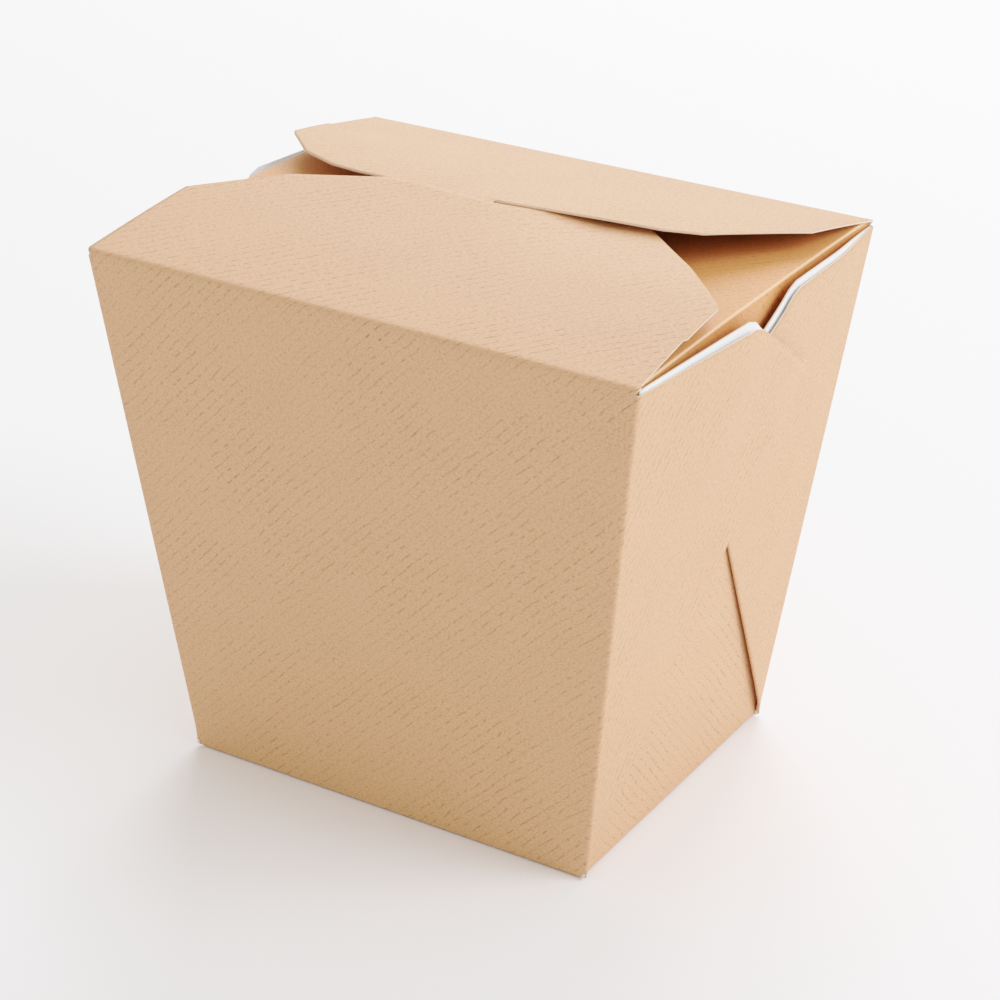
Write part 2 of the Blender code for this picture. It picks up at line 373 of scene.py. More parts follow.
# %% Faces of the upper web
UPPER_MOUTH = 1.2
UPPER_LIFT = 2.6
UPPER_FOLD_SHIFT = 0.032
BRIDGE = 12.0


def upper_web(radius, share):
    """Inner and outer brown faces of the web that lies over the lower one."""
    y, up = web_place(radius, shifted(share, UPPER_FOLD_SHIFT))
    lift = UPPER_LIFT * raised(radius) * to_tip(share) * from_tip(share)
    inner = END_SUNK + CLEAR + lift
    low_radius, low_share = web_polar(-y, up)
    at_edge = min(max(low_share, 0.0), 1.0)
    beyond_fold = (low_share - 1.0) * web_turn * low_radius
    beyond_cut = low_radius - cut_radius(at_edge)
    over = 1.0 - smooth(max(beyond_fold, beyond_cut, 0.0) / BRIDGE)
    if over > 0.0:
        cover = lower_web(min(low_radius, TIP_RADIUS), at_edge)[1] + CLEAR
        inner = mix(inner, max(inner, cover), over)
    return inner, inner + 2 * BOARD + gap(radius, share, UPPER_MOUTH)


print("upper web at its tip, mm:", [round(out, 2) for out in upper_web(TIP_RADIUS, TIP_SHARE)])

# %% [markdown]
# ## The front wall
#
# The front wall carries its main flap at the top and a web at each side. They are one stretch of
# board, so they become one mesh, and the back is the same stretch turned half round. A wall could
# be one flat face, but a real one bows out slightly, and its grid has to weld to those of the
# webs. So its rows follow the same distances along the corner edge as theirs.

# %% A place on the front wall
WALL_BOW = 0.4


def wall_place(x, up):
    """A place on the front wall, with a slight bow, and its place on the flat sheet."""
    half = BASE_LENGTH / 2 + math.tan(side_lean) * up
    bow = WALL_BOW * (1.0 - (x / half) ** 2) * math.sin(math.pi * min(up / side_slant, 1.0))
    unit = side_slant / HEIGHT
    depth = -BASE_DEPTH / 2 - (side_slope * up + bow) / unit
    return Vector((x, depth, (up - side_slope * bow) / unit)), Vector((x, up))


print("middle of the front, mm:", [round(part, 1) for part in wall_place(0.0, side_slant / 2)[0]])

# %% Rows that the wall and the webs share
CREASE = 0.9
CREASE_STEPS = 4
CREASE_PER_RADIUS = 0.25
ROW_START = 0.4
ROWS = 56


def crease_inset(radius):
    """How far from the corner edge its round begins. It narrows to nothing at the bottom."""
    return min(CREASE, CREASE_PER_RADIUS * radius)


def row_radius(row, share=0.0, rise=0.0):
    """Distance from the bottom corner for a row of a web, out to its cut edge."""
    return mix(ROW_START, cut_radius(share) + rise, row / ROWS)


print("rows are", round(row_radius(1) - row_radius(0), 2), "mm apart along the corner edge")

# %% [markdown]
# ## The webs as grids
#
# Each row of a web runs from the wall round the corner edge, along the outer layer to the fold,
# round it, and back along the inner layer. On the flat sheet the same row turns on from the corner
# edge to twice the turn. The two layers don't end at the same height: in the photo the inner one
# rises a little above the outer one, which is what shows as a white band. Its rise is given at the
# corner, at the tip and beyond the tip. Beyond its tip, the lower web is also cut back a little.

# %% A point of a web
UPPER_RISE = (0.7, 0.8, 0.25)
LOWER_RISE = (0.1, 1.0, 0.7)
FAR_RISE = (-0.3, -0.5, 0.0)
RISE_EASE = 0.25
TIP_EASE = 0.08
CUT_BACK = 0.7
LOWER_FOLD_SHIFT = -0.05


def flat_web(radius, turn_share):
    """The place on the flat sheet of a point of a web, from 0 at the corner edge to 2."""
    turn = side_lean + web_turn * turn_share
    return Vector((BASE_LENGTH / 2 + radius * math.sin(turn), radius * math.cos(turn)))


def inner_rise(share, rise):
    """How much further the inner layer of a web reaches than the outer one."""
    at_corner, at_tip, beyond = rise
    before_tip = mix(at_corner, at_tip, smooth(share / RISE_EASE))
    return mix(before_tip, beyond, smooth((share - TIP_SHARE) / TIP_EASE))


def web_point(row, share, layers, rise, outer):
    """A point of the outer or inner layer of a web, with its place on the flat sheet."""
    lower = layers is lower_web
    cut_back = CUT_BACK * smooth((share - TIP_SHARE) / TIP_EASE) if lower else 0.0
    radius = row_radius(row, share, -cut_back if outer else inner_rise(share, rise))
    inner_out, outer_out = layers(radius, share)
    y, up = web_place(radius, shifted(share, LOWER_FOLD_SHIFT if lower else UPPER_FOLD_SHIFT))
    if outer:
        return end_place(y, up, outer_out), flat_web(radius, share)
    return end_place(y, up, inner_out), flat_web(radius, 2.0 - share)


upper_tip = web_point(ROWS, TIP_SHARE, upper_web, UPPER_RISE, True)[0]
print("tip of the upper web, mm:", [round(part, 1) for part in upper_tip])

# %% The rounds at the corner edge and at the fold
FOLD_STEPS = 6
FOLD_LIMIT = 0.9


def corner_points(row, first):
    """The round of the corner edge, from the wall up to the first column of the web."""
    radius = row_radius(row)
    edge_x = BASE_LENGTH / 2 + radius * math.sin(side_lean)
    inset = crease_inset(radius) / math.cos(side_lean)
    start = wall_place(edge_x - inset, radius * math.cos(side_lean))[0]
    corner = end_place(*web_place(radius, 0.0), 0.0)
    end = end_place(*web_place(row_radius(row, first), first), 0.0)
    shares = [step / CREASE_STEPS for step in range(CREASE_STEPS)]
    return [(rounded(start, corner, end, share), flat_web(radius, first * (share - 0.5)))
            for share in shares]


def fold_points(row, last, outer, inner, sideways):
    """The half round of the fold, from the outer layer to the inner one."""
    middle = (outer + inner) / 2
    reach = min((outer - inner).length / 2, FOLD_LIMIT * row_radius(row))
    line = []
    for step in range(1, FOLD_STEPS):
        turn = math.pi * step / FOLD_STEPS
        place = middle + (outer - middle) * math.cos(turn) + sideways * reach * math.sin(turn)
        turn_share = mix(last, 2.0 - last, step / FOLD_STEPS)
        line.append((place, flat_web(row_radius(row, 1.0), turn_share)))
    return line


# %% One web
WEB_COLUMNS = 26
FOLD_EDGE = 0.6


def web_grid(layers, rise):
    """One web at the front right: round of the corner, outer layer, fold and inner layer."""
    grid = []
    for row in range(ROWS + 1):
        radius = row_radius(row)
        first = crease_inset(radius) / (radius * web_turn)
        last = 1.0 - FOLD_EDGE / (radius * web_turn + FOLD_EDGE)
        shares = [mix(first, last, column / WEB_COLUMNS) for column in range(WEB_COLUMNS + 1)]
        outer = [web_point(row, share, layers, rise, True) for share in shares]
        inner = [web_point(row, share, layers, rise, False) for share in shares[::-1]]
        sideways = (outer[-1][0] - outer[-2][0]).normalized()
        fold = fold_points(row, last, outer[-1][0], inner[0][0], sideways)
        grid.append(corner_points(row, first) + outer + fold + inner)
    return grid


print("a web has", ROWS + 1, "rows of", len(web_grid(upper_web, UPPER_RISE)[0]), "points")

# %% [markdown]
# ## The main flaps and their lock
#
# The two flaps rise like a low roof, and each is slit near the middle, so that one half lies over
# the other flap and the other half tucks under it. Two flat planes would cut through each other
# there. So the height of a flap depends on the distance from its crease and on which half it is:
# the upper half goes straight up to the ridge, and the lower half levels off below it. Where a
# flap passes under the other, it is held at least one board lower.

# %% Height of a main flap
RIDGE_RISE = 6.4
FLAP_BULGE = 0.5
TUCK_LEVEL = 4.65
TUCK_SHARPNESS = 6
BEND_LENGTH = 22.0
CROSSING_WIDTH = 1.2


def flap_rise(reach, over):
    """Height above the creases at a distance from the crease, for the upper or lower half."""
    upper = RIDGE_RISE * reach / (TOP_DEPTH / 2)
    power = TUCK_SHARPNESS
    lower = upper / (1.0 + (max(upper, 0.0) / TUCK_LEVEL) ** power) ** (1.0 / power)
    bulge = FLAP_BULGE * math.sin(math.pi * min(reach / (TOP_DEPTH / 2), 1.0))
    return mix(lower, upper, over) + bulge


def flap_place(x, reach, crossing):
    """A place on a flap's upper face, modelled at the front, and its place on the sheet."""
    rise = flap_rise(reach, 1.0 - smooth((x - crossing) / BEND_LENGTH))
    below_other = flap_rise(TOP_DEPTH - reach, 1.0) - BOARD - CLEAR
    rise = mix(rise, min(rise, below_other), smooth((x - crossing) / CROSSING_WIDTH + 0.5))
    return Vector((x, reach - TOP_DEPTH / 2, HEIGHT + rise)), Vector((x, side_slant + reach))


print("ridge over and under, mm:", [round(flap_rise(TOP_DEPTH / 2, over), 2) for over in (1, 0)])

# %% [markdown]
# ## The outlines of the flaps
#
# The outline of a flap is a short list of corners, in distances along and away from its crease,
# taken from the real shape: a straight side, a slanted corner, the half that tucks in, the slit
# and the free edge. It could be cut out of a larger grid, but then the edge would be ragged. Here
# the wall's columns run on up into the flap and end on that outline, so the outline is turned into
# as many points as there are columns, and every corner keeps a point of its own.

# %% Corners of the flaps
CROSSING_X = 1.0
SLIT = 0.4

FRONT_LEFT = [(-51.4, 25.6), (-37.6, 37.8), (-21.4, 44.3), (-14.1, 45.1),
              (-1.5, 44.1), (CROSSING_X - SLIT, 44.2), (CROSSING_X, 43.9)]
FRONT_RIGHT = [(CROSSING_X, 43.9), (CROSSING_X + SLIT, 44.2), (CROSSING_X + SLIT, 46.0),
               (8.0, 51.2), (24.0, 52.0), (28.0, 51.5), (42.2, 38.9), (52.5, 28.0),
               (53.4, 26.6), (53.6, 25.2)]
BACK_LEFT = [(-50.6, 20.9), (-37.8, 37.2), (-31.6, 40.0), (-23.0, 41.0),
             (-CROSSING_X - SLIT, 44.5), (-CROSSING_X, 44.2)]
BACK_RIGHT = [(-CROSSING_X, 44.2), (-CROSSING_X + SLIT, 44.5), (-CROSSING_X + SLIT, 46.0),
              (5.0, 50.0), (14.0, 48.6), (20.2, 47.4), (24.0, 40.8), (30.5, 40.7), (36.3, 40.0),
              (44.6, 36.5), (52.9, 28.2), (53.9, 26.8), (54.2, 25.2)]
print("the flaps reach", max(y for x, y in FRONT_RIGHT), "and", max(y for x, y in BACK_RIGHT), "mm")


# %% Points along an outline
def along_corners(corners, count):
    """Points along a line of corners: every corner, and even steps between them."""
    lengths = [math.dist(first, second) for first, second in zip(corners, corners[1:])]
    points = []
    done, used = 0.0, 0
    for first, second, length in zip(corners, corners[1:], lengths):
        done += length
        upto = max(round(count * done / sum(lengths)), used + 1)
        points += [Vector(first).lerp(Vector(second), step / (upto - used))
                   for step in range(upto - used)]
        used = upto
    return points + [Vector(corners[-1])]


# %% [markdown]
# ## One side, from the base to the free edge
#
# A side's grid is put together from four bands of rows: the round at the base, the wall, the round
# of the crease, and the flap. All have the same columns, evenly spaced on each side of the slit,
# and one column runs exactly through the slit. Just above the crease the flap is a little narrower
# than its crease, as it is cut on the real box, so that it clears the end flap.

# %% The rounds below and above the wall
FLAP_INSET = 0.3

top_half = TOP_LENGTH / 2 - FLAP_INSET


def side_foot(x, share):
    """A point of the round between the base and the front wall, from the base upward."""
    first_up = ROW_START * math.cos(side_lean)
    above = wall_place(x, first_up)[0]
    sharp = Vector((x, -BASE_DEPTH / 2, 0.0))
    below = Vector((x, -BASE_DEPTH / 2 + first_up, 0.0))
    return rounded(below, sharp, above, share), Vector((x, first_up * (2 * share - 1)))


def side_crease(x, share, crossing):
    """A point of the round between the front wall and its flap, from the wall upward."""
    below = wall_place(x, side_slant - CREASE)[0]
    sharp = wall_place(x, side_slant)[0]
    above = flap_place(x, CREASE, crossing)[0]
    flat = Vector((x, side_slant + CREASE * (2 * share - 1)))
    return rounded(below, sharp, above, share), flat


print("a main flap is", round(2 * top_half, 1), "mm wide at its crease")


# %% The wall's bands of rows
def foot_rows(across):
    """The round at the base. It starts narrower, because the end walls are sunk."""
    foot_half = BASE_LENGTH / 2 - crease_inset(ROW_START)
    rows = []
    for step in range(CREASE_STEPS):
        half = mix(BASE_LENGTH / 2 + END_SUNK, foot_half, step / CREASE_STEPS)
        rows.append([side_foot(part * half, step / CREASE_STEPS) for part in across])
    return rows


def wall_rows(across):
    """The wall, on the rows of the webs beside it."""
    rows = []
    for row in range(ROWS + 1):
        radius = row_radius(row)
        up = min(radius * math.cos(side_lean), side_slant - CREASE)
        edge = BASE_LENGTH / 2 + math.tan(side_lean) * up
        half = edge - crease_inset(radius) / math.cos(side_lean)
        rows.append([wall_place(half * part, up) for part in across])
    return rows


# %% The flap's bands of rows
FLAP_ROWS = 44
NICK_REACH = 16.0
NICK_X = 52.9


def crease_rows(across, crossing):
    """The round between the wall and its flap."""
    rows = []
    for step in range(1, CREASE_STEPS + 1):
        share = step / CREASE_STEPS
        half = mix(TOP_LENGTH / 2 - CREASE, top_half, math.sin(math.pi / 2 * share))
        rows.append([side_crease(half * part, share, crossing) for part in across])
    return rows


def flap_rows(across, edge, crossing):
    """The flap, from its crease to its free edge, a little cut in beside the end flap."""
    rows = []
    for row in range(1, FLAP_ROWS + 1):
        line = []
        for part, free in zip(across, edge):
            x, reach = Vector((top_half * part, CREASE)).lerp(free, row / FLAP_ROWS)
            if reach < NICK_REACH:
                x = min(x, NICK_X)
            line.append(flap_place(x, reach, crossing))
        rows.append(line)
    return rows


# %% Front and back
COLUMNS = 56


def side_grid(left_corners, right_corners, crossing):
    """The wall and its flap, from the fold at the base up to the flap's free edge."""
    edge = along_corners(left_corners, COLUMNS)[:-1] + along_corners(right_corners, COLUMNS)
    slit = crossing / top_half
    across = [mix(-1.0, slit, column / COLUMNS) for column in range(COLUMNS)]
    across += [mix(slit, 1.0, column / COLUMNS) for column in range(COLUMNS + 1)]
    below = foot_rows(across) + wall_rows(across)
    return below + crease_rows(across, crossing) + flap_rows(across, edge, crossing)


front = build("front_side", [side_grid(FRONT_LEFT, FRONT_RIGHT, CROSSING_X),
                             web_grid(upper_web, UPPER_RISE),
                             mirrored(web_grid(lower_web, FAR_RISE))])
back = build("back_side", [side_grid(BACK_LEFT, BACK_RIGHT, -CROSSING_X),
                           web_grid(upper_web, FAR_RISE),
                           mirrored(web_grid(lower_web, LOWER_RISE))], half_turn=True)

# %% [markdown]
# ## The ends: wall, rolled crease and end flap
#
# The end wall folds inward at the top over a narrow roll, and its flap dips a little into the box.
# That flap is what shows in the gap beside the main flaps. The roll could be left sharp, but on
# the real box it is a pale line: the brown side is rubbed along it, and light catches its round. So
# it gets rows of its own, over which a paler brown rises to 1 and falls again: partly rubbed board,
# partly a painted highlight for the light on its round. The end flap and the top of the end wall
# get a darker, warmer brown, which is painted shade for light bounced between brown boards under
# the flaps. On the flat sheet an end wall lies on its side, so its pattern is turned a quarter.

# %% Places on the flat sheet, and the round at the base
END_COLUMNS = 60

across_end = [2 * column / END_COLUMNS - 1 for column in range(END_COLUMNS + 1)]


def end_flat(y, up):
    """The place on the flat sheet of a point of the right end."""
    return Vector((BASE_LENGTH / 2 + up, -BASE_DEPTH / 2 - y))


def end_foot(y, share):
    """A point of the round between the base and the right end, from the base upward."""
    above = end_place(y, CREASE, END_SUNK)
    sharp = Vector((above.x, y, 0.0))
    below = sharp - Vector((CREASE, 0.0, 0.0))
    return rounded(below, sharp, above, share), end_flat(y, CREASE * (2 * share - 1))


print("the base ends", round(end_foot(0.0, 0.0)[0].x, 2), "mm from the middle")

# %% Rows of the end wall
END_ROLL = 0.42
END_ROWS = 40
FOOT_MARGIN = 0.36
END_MARGIN = 0.7

roll_start = end_slant - END_ROLL


def end_wall_rows(crease):
    """The end wall, from the fold at the base up to its roll, with painted shade, a warmer brown,
    near the top.
    """
    foot_half = BASE_DEPTH / 2 - FOOT_MARGIN
    rows = [[end_foot(foot_half * part, step / CREASE_STEPS) for part in across_end]
            for step in range(CREASE_STEPS)]
    for row in range(END_ROWS + 1):
        up = mix(CREASE, roll_start, row / END_ROWS)
        margin = mix(FOOT_MARGIN, END_MARGIN, row / END_ROWS)
        half = BASE_DEPTH / 2 + math.tan(end_lean) * up - margin
        # Painted shade: the brown turns darker and warmer towards the top of the end wall, behind
        # the webs.
        painted_shade = smooth((up - BOW_START) / (roll_start - BOW_START))
        line = []
        for part in across_end:
            y = half * part
            place = end_place(y, up, end_sunk(y, up, crease))
            line.append((place, (*end_flat(y, up), 0.0, painted_shade)))
        rows.append(line)
    return rows


print("the roll starts", round(roll_start, 1), "mm up the end")

# %% Rows of the roll
ROLL_STEPS = 8
END_FLAP_DIP = math.radians(2.7)

end_half = TOP_DEPTH / 2 - END_MARGIN
roll_turn = math.pi / 2 + math.atan(end_slope) + END_FLAP_DIP


def roll_rows(crease):
    """The round over the top of the end wall, palest in the middle of its turn: rubbed board and a
    painted highlight.
    """
    out = Vector((1.0, 0.0, -end_slope)).normalized()
    upward = Vector((end_slope, 0.0, 1.0)).normalized()
    rows = []
    for step in range(1, ROLL_STEPS + 1):
        turn = roll_turn * step / ROLL_STEPS
        # Painted highlight, partly rubbed board: paler brown in the middle of the turn; painted
        # shade at full.
        worn_and_highlight = math.sin(math.pi * step / ROLL_STEPS)
        line = []
        for part in across_end:
            y = end_half * part
            centre = end_place(y, roll_start, end_sunk(y, roll_start, crease)) - out * END_ROLL
            place = centre + (out * math.cos(turn) + upward * math.sin(turn)) * END_ROLL
            line.append((place, (*end_flat(y, roll_start + END_ROLL * turn), worn_and_highlight, 1.0)))
        rows.append(line)
    return rows


print("the roll turns", round(math.degrees(roll_turn), 1), "degrees")

# %% Rows of the end flap
END_FLAP_REACH = 36.0
END_FLAP_TAPER = 0.16
END_FLAP_CORNER = 9.0


def end_flap_rows(last):
    """The end flap, on from the last row of the roll: narrowing, with rounded free corners."""
    inward = Vector((-math.cos(END_FLAP_DIP), 0.0, -math.sin(END_FLAP_DIP)))
    rows = []
    for row in range(1, END_ROWS + 1):
        reach = END_FLAP_REACH * row / END_ROWS
        corner = max(reach - END_FLAP_REACH + END_FLAP_CORNER, 0.0)
        cut = END_FLAP_CORNER - math.sqrt(max(END_FLAP_CORNER ** 2 - corner ** 2, 0.0))
        width = end_half - END_FLAP_TAPER * reach - cut
        line = []
        for place, flat in last:
            y = place.y * width / end_half
            moved = Vector((place.x, y, place.z)) + inward * reach
            # The end flap has the painted shade at full.
            line.append((moved, (*end_flat(y, flat[0] - BASE_LENGTH / 2 + reach), 0.0, 1.0)))
        rows.append(line)
    return rows


# %% Right and left end
def end_grid(crease):
    """The right end from the fold at the base, over the roll, to the free edge of its flap."""
    rolled = roll_rows(crease)
    return end_wall_rows(crease) + rolled + end_flap_rows(rolled[-1])


right_end = build("right_end", [end_grid(RIGHT_CREASE)])
left_end = build("left_end", [end_grid(LEFT_CREASE)], half_turn=True)

# %% [markdown]
# ## The base
#
# The base is a plain panel between the four folds at the bottom. It is seen only from below, and
# one face would do, but a grid bends no differently from the walls beside it. It faces down, so
# its rows run from back to front. With it the box is whole, and takes the place of the solid part.

# %% Base panel
BASE_STEPS = 12


def base_grid():
    """The underside, facing down."""
    half_x = end_foot(0.0, 0.0)[0].x
    half_y = -side_foot(0.0, 0.0)[0].y
    steps = [2 * step / BASE_STEPS - 1 for step in range(BASE_STEPS + 1)]
    return [[(Vector((half_x * part, -half_y * row, 0.0)),
              Vector((half_x * part, half_y * row - BASE_DEPTH / 2))) for part in steps]
            for row in steps]


base = build("base", [base_grid()])
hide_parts("carton")

# %% [markdown]
# ## Nodes for the board
#
# A finish made of nodes needs many small sums, and setting up each node in full would bury what
# it is for. So a few helpers come first: they add a node, do a sum, ramp a value, mix two colours
# or make noise. An image could hold the pattern too, but it would blur close up and show seams.
# The noise is measured in millimetres on the flat sheet, because that is what the UV layer holds.

# %% Helpers that add nodes
def feed(tree, socket, value):
    """Give an input a link or a plain value."""
    if isinstance(value, bpy.types.NodeSocket):
        tree.links.new(value, socket)
    else:
        socket.default_value = value


def node(tree, kind, **inputs):
    """Add a node and feed its inputs, named with _ for a space, or by i and their number."""
    item = tree.nodes.new(kind)
    for key, value in inputs.items():
        numbered = key[0] == "i" and key[1:].isdigit()
        feed(tree, item.inputs[int(key[1:]) if numbered else key.replace("_", " ")], value)
    return item


def maths(tree, operation, first, second=0.0):
    """One sum on numbers or links."""
    item = node(tree, "ShaderNodeMath", i0=first, i1=second)
    item.operation = operation
    return item.outputs[0]


def ramp(tree, value, low, high):
    """Map a value from low to high onto 0 to 1, smoothly."""
    item = node(tree, "ShaderNodeMapRange", Value=value, From_Min=low, From_Max=high)
    item.interpolation_type = "SMOOTHSTEP"
    return item.outputs["Result"]


# %% Helpers for colour, noise and UV layers
def colour_mix(tree, amount, first, second):
    """Mix two colours, each a link or red, green, blue and 1."""
    item = node(tree, "ShaderNodeMix", Factor=amount)
    item.data_type = "RGBA"
    feed(tree, item.inputs[6], first)
    feed(tree, item.inputs[7], second)
    return item.outputs[2]


def sheet_noise(tree, place, scale, stretch, detail=2.0):
    """Cloudy noise in the coordinates of the flat sheet, drawn out along x by the stretch."""
    spread = node(tree, "ShaderNodeVectorMath", i0=place, i1=(scale / stretch, scale, 1.0))
    spread.operation = "MULTIPLY"
    noise = node(tree, "ShaderNodeTexNoise", Vector=spread.outputs[0], Scale=1.0, Detail=detail)
    return noise.outputs["Fac"]


def uv_layer(tree, name):
    """The values of one UV layer of the piece."""
    layer = node(tree, "ShaderNodeUVMap")
    layer.uv_map = name
    return layer.outputs["UV"]


# %% [markdown]
# ## Laid lines
#
# Brown kraft is pressed on a wire screen, which leaves fine parallel lines about 1.7 mm apart, at
# 45 degrees over the flat sheet. A wave texture would draw them as even stripes, but the real ones
# sway a little, break off into dashes, and fade where the pulp is thicker. So a line is drawn
# where the distance across the lines, with some noise added, comes halfway between two whole
# numbers of pitches, and two more noises decide where it shows.

# %% Lines on the sheet
LAID_PITCH = 1.7
LAID_ANGLE = math.radians(-45.0)
BROAD_NOISE, BROAD_SWAY = (0.12, 1.0), 1.4
FINE_NOISE, FINE_SWAY = (0.7, 2.0), 0.35
LINE_EDGE = (0.01, 0.15)
DASH_NOISE, DASH_RANGE = (1.9, 2.6), (0.42, 0.62)
PATCH_NOISE, PATCH_RANGE = (0.05, 1.0), (0.3, 0.7)
LEAST_PATCH = 0.35


def laid_lines(tree, place):
    """Strength of the laid lines at a place on the turned sheet."""
    across = node(tree, "ShaderNodeSeparateXYZ", Vector=place).outputs["Y"]
    broad_sway = maths(tree, "MULTIPLY", sheet_noise(tree, place, *BROAD_NOISE), BROAD_SWAY)
    fine_sway = maths(tree, "MULTIPLY", sheet_noise(tree, place, *FINE_NOISE), FINE_SWAY)
    moved = maths(tree, "ADD", across, maths(tree, "ADD", broad_sway, fine_sway))
    wave = maths(tree, "FRACT", maths(tree, "DIVIDE", moved, LAID_PITCH))
    away = maths(tree, "ABSOLUTE", maths(tree, "SUBTRACT", wave, 0.5))
    line = maths(tree, "SUBTRACT", 1.0, ramp(tree, away, *LINE_EDGE))
    dashes = ramp(tree, sheet_noise(tree, place, *DASH_NOISE), *DASH_RANGE)
    patches = ramp(tree, sheet_noise(tree, place, *PATCH_NOISE), *PATCH_RANGE)
    presence = maths(tree, "MULTIPLY", dashes, maths(tree, "ADD", patches, LEAST_PATCH))
    return maths(tree, "MULTIPLY", line, presence)


print("laid lines every", LAID_PITCH, "mm, turned by", round(math.degrees(LAID_ANGLE)), "degrees")

# %% [markdown]
# ## Brown kraft board
#
# Besides the lines, the board has short fibres, a few dark specks and broad clouds. All of them
# only make the same brown lighter or darker, so they are added up to one shade between a light and
# a dark brown. Then the second UV layer comes in. The end flaps and the top of the end walls get a
# warmer brown, which is painted shade for light bounced between brown boards under the flaps. The
# roll gets a pale brown: partly rubbed board, partly a painted highlight. Fibres and lines also
# give the surface its faint relief and its uneven gloss.

# %% Shade of the board
CLOUD_NOISE, CLOUD_TONE = (0.11, 1.3, 3.0), 0.15
SPECK_NOISE, SPECK_RANGE, SPECK_TONE = (1.6, 1.5), (0.7, 0.78), 0.35
FIBRE_TONE = 1.25
BASE_TONE = 0.085
LINE_TONE = 0.4


def board_shade(tree, place, fibres, lines):
    """How dark the board is at a place, from 0 upward."""
    specks = ramp(tree, sheet_noise(tree, place, *SPECK_NOISE), *SPECK_RANGE)
    clouds = sheet_noise(tree, place, *CLOUD_NOISE)
    fibre_tone = maths(tree, "MULTIPLY", maths(tree, "SUBTRACT", fibres, 0.5), FIBRE_TONE)
    cloud_tone = maths(tree, "MULTIPLY", maths(tree, "SUBTRACT", clouds, 0.5), CLOUD_TONE)
    tone = maths(tree, "ADD", maths(tree, "ADD", fibre_tone, cloud_tone), BASE_TONE)
    marks = maths(tree, "ADD", maths(tree, "MULTIPLY", lines, LINE_TONE),
                  maths(tree, "MULTIPLY", specks, SPECK_TONE))
    return maths(tree, "MAXIMUM", maths(tree, "ADD", tone, marks), 0.0)


# %% Kraft material
KRAFT = (0.68, 0.39, 0.215, 1.0)
# This darker, warmer brown is painted shade for the end flaps and the top of the end walls.
PAINTED_SHADE_KRAFT = (0.69, 0.318, 0.122, 1.0)
KRAFT_DARK = (0.27, 0.12, 0.05, 1.0)
# Pale brown of the roll: partly rubbed board, partly a painted highlight.
WORN_AND_PAINTED_HIGHLIGHT = (0.79, 0.49, 0.28, 1.0)
FIBRE_NOISE = (3.0, 1.8, 4.0)
ROUGH_LEAST, ROUGH_SPREAD = 0.5, 0.25
FIBRE_RELIEF, LINE_RELIEF = 0.5, 0.8
RELIEF_STRENGTH, RELIEF_DEPTH = 0.22, 0.0001


def kraft_material():
    """Laid brown board: colour, gloss and relief, from its place on the sheet, with painted shade
    on the ends and a painted highlight, partly rubbed board, on the roll.
    """
    material = bpy.data.materials.new("kraft_board")
    material.use_nodes = True
    tree = material.node_tree
    shader = tree.nodes["Principled BSDF"]
    along = node(tree, "ShaderNodeMapping", Vector=uv_layer(tree, "sheet"),
                 Rotation=(0.0, 0.0, LAID_ANGLE))
    place = along.outputs["Vector"]
    lines = laid_lines(tree, place)
    fibres = sheet_noise(tree, place, *FIBRE_NOISE)
    wear = node(tree, "ShaderNodeSeparateXYZ", Vector=uv_layer(tree, "wear"))
    # Painted shade: the Y of the second UV layer mixes in the warmer brown of the shaded ends.
    light = colour_mix(tree, wear.outputs["Y"], KRAFT, PAINTED_SHADE_KRAFT)
    brown = colour_mix(tree, board_shade(tree, place, fibres, lines), light, KRAFT_DARK)
    # Painted highlight, partly rubbed board: the X of the second UV layer mixes in the pale roll
    # brown.
    feed(tree, shader.inputs["Base Color"], colour_mix(tree, wear.outputs["X"], brown, WORN_AND_PAINTED_HIGHLIGHT))
    rough = maths(tree, "ADD", maths(tree, "MULTIPLY", fibres, ROUGH_SPREAD), ROUGH_LEAST)
    feed(tree, shader.inputs["Roughness"], rough)
    relief = maths(tree, "SUBTRACT", maths(tree, "MULTIPLY", fibres, FIBRE_RELIEF),
                   maths(tree, "MULTIPLY", lines, LINE_RELIEF))
    bump = node(tree, "ShaderNodeBump", Height=relief, Strength=RELIEF_STRENGTH,
                Distance=RELIEF_DEPTH)
    feed(tree, shader.inputs["Normal"], bump.outputs["Normal"])
    print("kraft board has", len(tree.nodes), "nodes")
    return material


kraft = kraft_material()

# %% [markdown]
# ## White inner side and cut edge
#
# The inner side of the board is a plain white layer with hardly any grain. The cut edge is the raw
# middle of the board, paler than its brown face. Both are seen only as narrow bands, so they could
# be one flat colour each. Faint clouds are added, because even the white isn't perfectly even.

# %% Plain board
CLOUD_SCALE, CLOUD_DETAIL = 0.5, 3.0


def plain_board(name, colour, roughness, spread):
    """Plain board in one colour, with a slight cloudiness."""
    material = bpy.data.materials.new(name)
    material.use_nodes = True
    tree = material.node_tree
    shader = tree.nodes["Principled BSDF"]
    clouds = sheet_noise(tree, uv_layer(tree, "sheet"), CLOUD_SCALE, 1.0, CLOUD_DETAIL)
    darker = [channel * (1.0 - spread) for channel in colour]
    tint = colour_mix(tree, clouds, (*colour, 1.0), (*darker, 1.0))
    feed(tree, shader.inputs["Base Color"], tint)
    shader.inputs["Roughness"].default_value = roughness
    return material


white_side = plain_board("white_board", (0.86, 0.85, 0.84), 0.5, 0.05)
cut_edge = plain_board("cut_board_edge", (0.79, 0.62, 0.47), 0.8, 0.1)
for piece in (front, back, right_end, left_end, base):
    for material in (kraft, white_side, cut_edge):
        piece.data.materials.append(material)
print("materials:", [material.name for material in front.data.materials])

# %% [markdown]
# ## Floor and studio
#
# In the photo the box stands on plain white. A shadow catcher could give that, but it is no real
# surface, so a large pale floor takes its place and carries a soft shadow. It lies a fifth of a
# millimetre below the box, because two surfaces in one plane would flicker. The world is an even,
# nearly white light from all round, as in a light tent.

# %% Floor
FLOOR_HALF = 3.0
FLOOR_LEVEL = -0.0002
FLOOR_WHITE = (0.93, 0.93, 0.93, 1.0)
FLOOR_ROUGHNESS = 0.9

